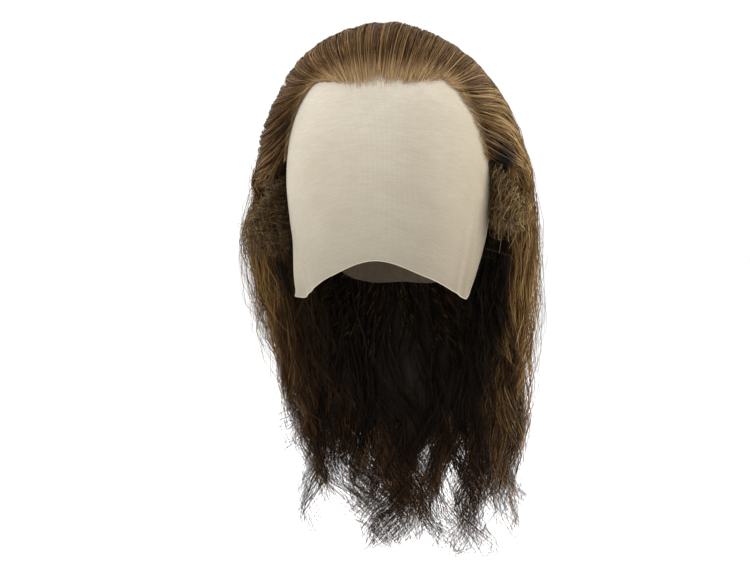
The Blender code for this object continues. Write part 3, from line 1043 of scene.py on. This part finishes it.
def netHoles(finish, u, v, across, down):
    # A hexagonal net: three cosines a third of a turn apart sum to a peak in every hole and are low on the
    # threads.
    first = u * (2 * math.pi * across)
    second = v * (2 * math.pi * down) + first * 0.5
    third = v * (2 * math.pi * down) - first * 0.5
    waves = [finish.node("ShaderNodeMath", {"operation": "COSINE"}, {0: w}) for w in (first, second, third)]
    total = waves[0] + waves[1] + waves[2]
    return finish.node("ShaderNodeMapRange", {"clamp": True}, {0: total, 1: -0.75, 2: 0.35, 3: 0.0, 4: 1.0})


def laceFinish():
    # Cream thread with holes that let a little light through, clouded, ribbed, with painted shade darkening it
    # towards the lower edge and at the right.
    finish = Finish("laceNet", Specular_IOR_Level=0.25, Roughness=0.8)
    chart, u, v = mapAxes(finish)
    holes = netHoles(finish, u, v, *lace["cells"])
    cloud = finish.noise(chart, 7.0, 3.0, 0.6)
    ribs = streaks(finish, u, v, 22, 130, 3.0, 0.55)
    colour = finish.ramp(cloud, [(0.3, (0.490, 0.440, 0.352)), (0.7, (0.535, 0.485, 0.397))])
    lit = finish.ramp(ribs, [(0.3, (0.93, 0.93, 0.92)), (0.7, (1.04, 1.04, 1.04))])
    # painted shade: darker towards the lower edge, lit from above, and darker at the right, away from the
    # light
    lowerEdgeShade = finish.ramp(v, [(0.0, (0.57, 0.555, 0.53)), (0.5, (0.80, 0.79, 0.775)), (0.95, (0.98, 0.98, 1.0))])
    rightSideShade = finish.ramp(u, [(0.0, (1.0, 1.0, 1.0)), (0.55, (1.0, 1.0, 1.0)), (0.85, (0.71, 0.67, 0.60))])
    for light in (lit, lowerEdgeShade, rightSideShade):
        colour = finish.tinted(colour, light)
    finish.put("Base Color", colour)
    finish.put("Alpha", 1.0 - holes * lace["sheer"])
    relief = ribs * 1.5 - holes * 0.4
    bump = finish.node("ShaderNodeBump", None, {"Strength": 0.4, "Distance": 0.0003, "Height": relief})
    finish.put("Normal", bump)
    return finish


laceAngle = np.linspace(-lace["angle"], lace["angle"], lace["columns"])
angle, share = np.meshgrid(laceAngle, np.linspace(0, 1, lace["rows"]))
laceChart = np.stack([(angle / lace["angle"] + 1) / 2, 1 - share], -1)
laceSheet = makeSheet(
    "lace_panel", lacePoint(angle, share), laceChart, laceFinish(), ("lace_front",)
)

print("cap")
capEdges = (  # angle, and the lower edge's share of the nape's level
    (84, 0.52),
    (90, 0.62),
    (104, 0.60),
    (120, 0.74),
    (140, 0.94),
    (160, 1.00),
    (180, 1.00),
)
cap = {
    "columns": 161,
    "rows": 44,
    "cells": (300, 300),
    "firstRing": 0.004,
    "mapRadius": 0.48,
}


def capFinish():  # brown thread round dark holes, clouded, the holes sunk a little
    finish = Finish("capNet", Specular_IOR_Level=0.2, Roughness=0.85)
    chart, u, v = mapAxes(finish)
    holes = netHoles(finish, u, v, *cap["cells"])
    cloud = finish.noise(chart, 12.0, 3.0, 0.6)
    threads = finish.ramp(cloud, [(0.3, (0.150, 0.112, 0.075)), (0.7, (0.215, 0.165, 0.115))])
    finish.put("Base Color", finish.mixed(holes, threads, (0.035, 0.024, 0.016, 1)))
    bump = finish.node("ShaderNodeBump", None, {"Strength": 0.5, "Distance": 0.0004, "Height": 1.0 - holes})
    finish.put("Normal", bump)
    return finish


# The cap: rings from the crown down to the lace's upper edge in front and to the nape behind, mapped as a disc
capAngle = np.linspace(-180, 180, cap["columns"])
fromFront = np.abs(capAngle)
capEnds = depthAt(fit["napeLevel"] * between(capEdges, 1, fromFront))
capEnds = np.where(fromFront <= lace["angle"], between(laceEdges, 1, fromFront), capEnds)
capShare = np.linspace(cap["firstRing"], 1, cap["rows"])[:, None]
capDepth = capEnds * capShare
capAround = np.radians(np.broadcast_to(capAngle, capDepth.shape))
capRadius = cap["mapRadius"] * capShare
capChart = np.stack([0.5 + capRadius * np.sin(capAround), 0.5 - capRadius * np.cos(capAround)], -1)
capPoints = onCap(capAround, capDepth, fit["capWall"] / 2)
capNet = makeSheet("cap_net", capPoints, capChart, capFinish(), ("cap",))

print("trim")
trim = {
    "hemWidth": 0.0008,
    "hemProud": 0.0003,
    "hemFrom": 0.35,
    "hemSteps": (40, 240),
    "wefts": 9,
    "weftHeight": 0.0032,
    "weftTop": 0.62,
    "weftGap": 0.085,
    "weftMargin": 0.06,
    "weftOff": -0.0004,
    "weftSteps": 90,
    "knots": 1500,
    "knotSize": 0.00030,
    "knotOff": 0.00085,
    "knotWays": (-0.025, 0.020),
}


def plainFinish(name, colour, roughness):  # colour varied a little by streaks along the piece
    finish = Finish(name, Specular_IOR_Level=0.2)
    _, u, v = mapAxes(finish)
    fleck = streaks(finish, u, v, 260, 8)
    shades = [(0.3, tuple(0.8 * c for c in colour)), (0.7, tuple(1.15 * c for c in colour))]
    finish.put("Base Color", finish.ramp(fleck, shades))
    finish.put("Roughness", fleck * 0.2 + roughness)
    return finish


def makeHem():
    # A narrow turned edge: down the rear edge of one side, along the bottom and up the other, a band just
    # proud of the lace on both faces, closed round its section.
    side = np.linspace(trim["hemFrom"], 1, trim["hemSteps"][0])
    bottom = np.linspace(-1, 1, trim["hemSteps"][1])[1:-1]
    ends = np.ones(len(side))
    along = np.concatenate([-ends, bottom, ends]) * lace["angle"]
    down = np.concatenate([side, np.ones(len(bottom)), side[::-1]])
    edge = lacePoint(along, down)
    inward = unit(lacePoint(along * 0.985, down - 0.012) - edge)
    tangent = unit(np.gradient(edge, axis=0))
    normal = unit(np.cross(tangent, inward))
    corners = [(0, 1), (1, 1), (1, -1), (0, -1), (0, 1)]
    ring = [edge + inward * (trim["hemWidth"] * a) + normal * (trim["hemProud"] * b) for a, b in corners]
    chart = np.stack(np.meshgrid(np.linspace(0, 1, len(edge)), np.linspace(0, 1, 5), indexing="ij"), -1)
    faces = gridFaces(len(edge), 5)
    finish = plainFinish("hemThread", (0.38, 0.335, 0.255), 0.75)
    return putMesh(
        "lace_hem", np.stack(ring, 1).reshape(-1, 3), faces, chart.reshape(-1, 2), finish, ()
    )


def makeWefts():
    # Tracks of hair sewn round the inside of the cap: flat bands, one below the other, round the back and the
    # nape, each as far round as the cap reaches below it.
    points, charts = [], []
    behind = np.linspace(100, 180, 161)
    capEnds = depthAt(fit["napeLevel"] * between(capEdges, 1, behind))
    for track in range(trim["wefts"]):
        middleDepth = trim["weftTop"] + track * trim["weftGap"]
        first = behind[capEnds > middleDepth + trim["weftMargin"]].min()
        angle = np.radians(np.linspace(first, 360 - first, trim["weftSteps"]))
        depths = middleDepth + np.array([-0.5, 0.5]) * trim["weftHeight"] / crownArc
        around, depth = np.meshgrid(angle, depths, indexing="ij")
        points.append(onCap(around, depth, trim["weftOff"]).reshape(-1, 3))
        down = (track + np.array([0.1, 0.9])) / trim["wefts"]
        chart = np.meshgrid(np.linspace(0, 1, trim["weftSteps"]), down, indexing="ij")
        charts.append(np.stack(chart, -1).reshape(-1, 2))
    faces = gridFaces(trim["weftSteps"], 2, trim["wefts"])
    finish = plainFinish("weftTape", (0.10, 0.070, 0.045), 0.8)
    return putMesh("weft_tracks", np.concatenate(points), faces, np.concatenate(charts), finish, ())


def makeKnots():
    # Tiny knots where single hairs are tied through the lace, flat diamonds scattered ahead of the hairline.
    rng = np.random.default_rng(31)
    count = trim["knots"]
    lane = rng.uniform(-1.02, 1.02, count)
    ahead, behind = trim["knotWays"]
    way = rootShift(lane) + ahead + (behind - ahead) * rng.beta(2.2, 1.6, count)
    angle, depth = flow(lane, way)
    size = trim["knotSize"] * rng.uniform(0.6, 1.4, count)[:, None]
    centre = onCap(angle, depth, trim["knotOff"])
    over = unit(onCap(angle, depth - 0.004, trim["knotOff"]) - centre)
    normal = unit(onCap(angle, depth, 0.004) - centre)
    across = np.cross(over, normal)
    points = np.stack([centre + size * corner for corner in (over, across, -over, -across)], 1).reshape(-1, 3)
    faces = np.arange(len(points)).reshape(-1, 4)
    shade = rng.uniform(0.02, 0.97, count)[:, None]
    u = shade + np.array([0, 0.01, 0.02, 0.01])
    v = 0.5 + np.array([0.01, 0, 0, 0.01]) + 0 * shade
    finish = plainFinish("knotHair", (0.10, 0.065, 0.035), 0.6)
    return putMesh("lace_knots", points, faces, np.stack([u, v], -1).reshape(-1, 2), finish, ())


makeHem()
makeWefts()
makeKnots()

print("stage")
view = {
    "distance": 1.12,
    "azimuth": math.radians(7),
    "height": -0.123,
    "down": math.radians(3.167),
    "turn": math.radians(0.626),
    "lens": 70.27,
}
cameraData = bpy.data.cameras.new("camera")
cameraData.sensor_width = 36
cameraData.lens = view["lens"]
cameraData.clip_start, cameraData.clip_end = 0.05, 100
camera = bpy.data.objects.new("camera", cameraData)
bpy.context.scene.collection.objects.link(camera)
camera.location = (
    view["distance"] * math.sin(view["azimuth"]),
    -view["distance"] * math.cos(view["azimuth"]),
    view["height"],
)
camera.rotation_euler = (math.pi / 2 - view["down"], 0, view["azimuth"] + view["turn"])
bpy.context.scene.camera = camera


stage = {
    "floorRadius": 8,
    "floorDrop": 0.05,
    "floorSides": 64,
    "skyStrength": 1.08,
    "aim": (0, 0, -0.15),
}
lights = (  # name, place, size, watts
    ("keyLight", (-1.1, -1.5, 1.2), (1.2, 1.2), 24),
    ("topLight", (0.0, 0.1, 1.7), (1.2, 1.2), 18),
    ("rimRight", (1.5, 0.5, 0.3), (0.8, 1.4), 34),
    ("rimLeft", (-1.5, 0.6, 0.3), (0.8, 1.4), 10),
)


def makeFloor(radius, height, sides):  # a flat round floor
    rim = np.linspace(0, 2 * math.pi, sides + 1)[:-1]
    mesh = bpy.data.meshes.new("floor")
    corners = [(radius * math.cos(a), radius * math.sin(a), height) for a in rim]
    mesh.from_pydata(corners, [], [list(range(sides))])
    finish = Finish("floor", Base_Color=(0.93, 0.93, 0.93, 1), Roughness=0.9, Specular_IOR_Level=0.1)
    mesh.materials.append(finish.material)
    floor = bpy.data.objects.new("floor", mesh)
    bpy.context.scene.collection.objects.link(floor)


def addSoftbox(name, place, size, watts):  # a soft rectangle of light, turned to the stage's aim
    data = bpy.data.lights.new(name, "AREA")
    data.shape = "RECTANGLE"
    data.size, data.size_y = size
    data.energy = watts
    light = bpy.data.objects.new(name, data)
    bpy.context.scene.collection.objects.link(light)
    light.location = place
    toward = np.array(stage["aim"]) - np.array(place)
    flat = math.hypot(toward[0], toward[1])
    light.rotation_euler = (math.pi / 2 + math.atan2(toward[2], flat), 0, math.atan2(-toward[0], toward[1]))


makeFloor(stage["floorRadius"], cadBox[0][2] - stage["floorDrop"], stage["floorSides"])
for light in lights:
    addSoftbox(*light)

world = bpy.data.worlds.new("studio")
world.use_nodes = True
sky = world.node_tree.nodes["Background"]
sky.inputs["Color"].default_value = (1, 1, 1, 1)
sky.inputs["Strength"].default_value = stage["skyStrength"]
bpy.context.scene.world = world
bpy.context.scene.view_settings.view_transform = "Standard"
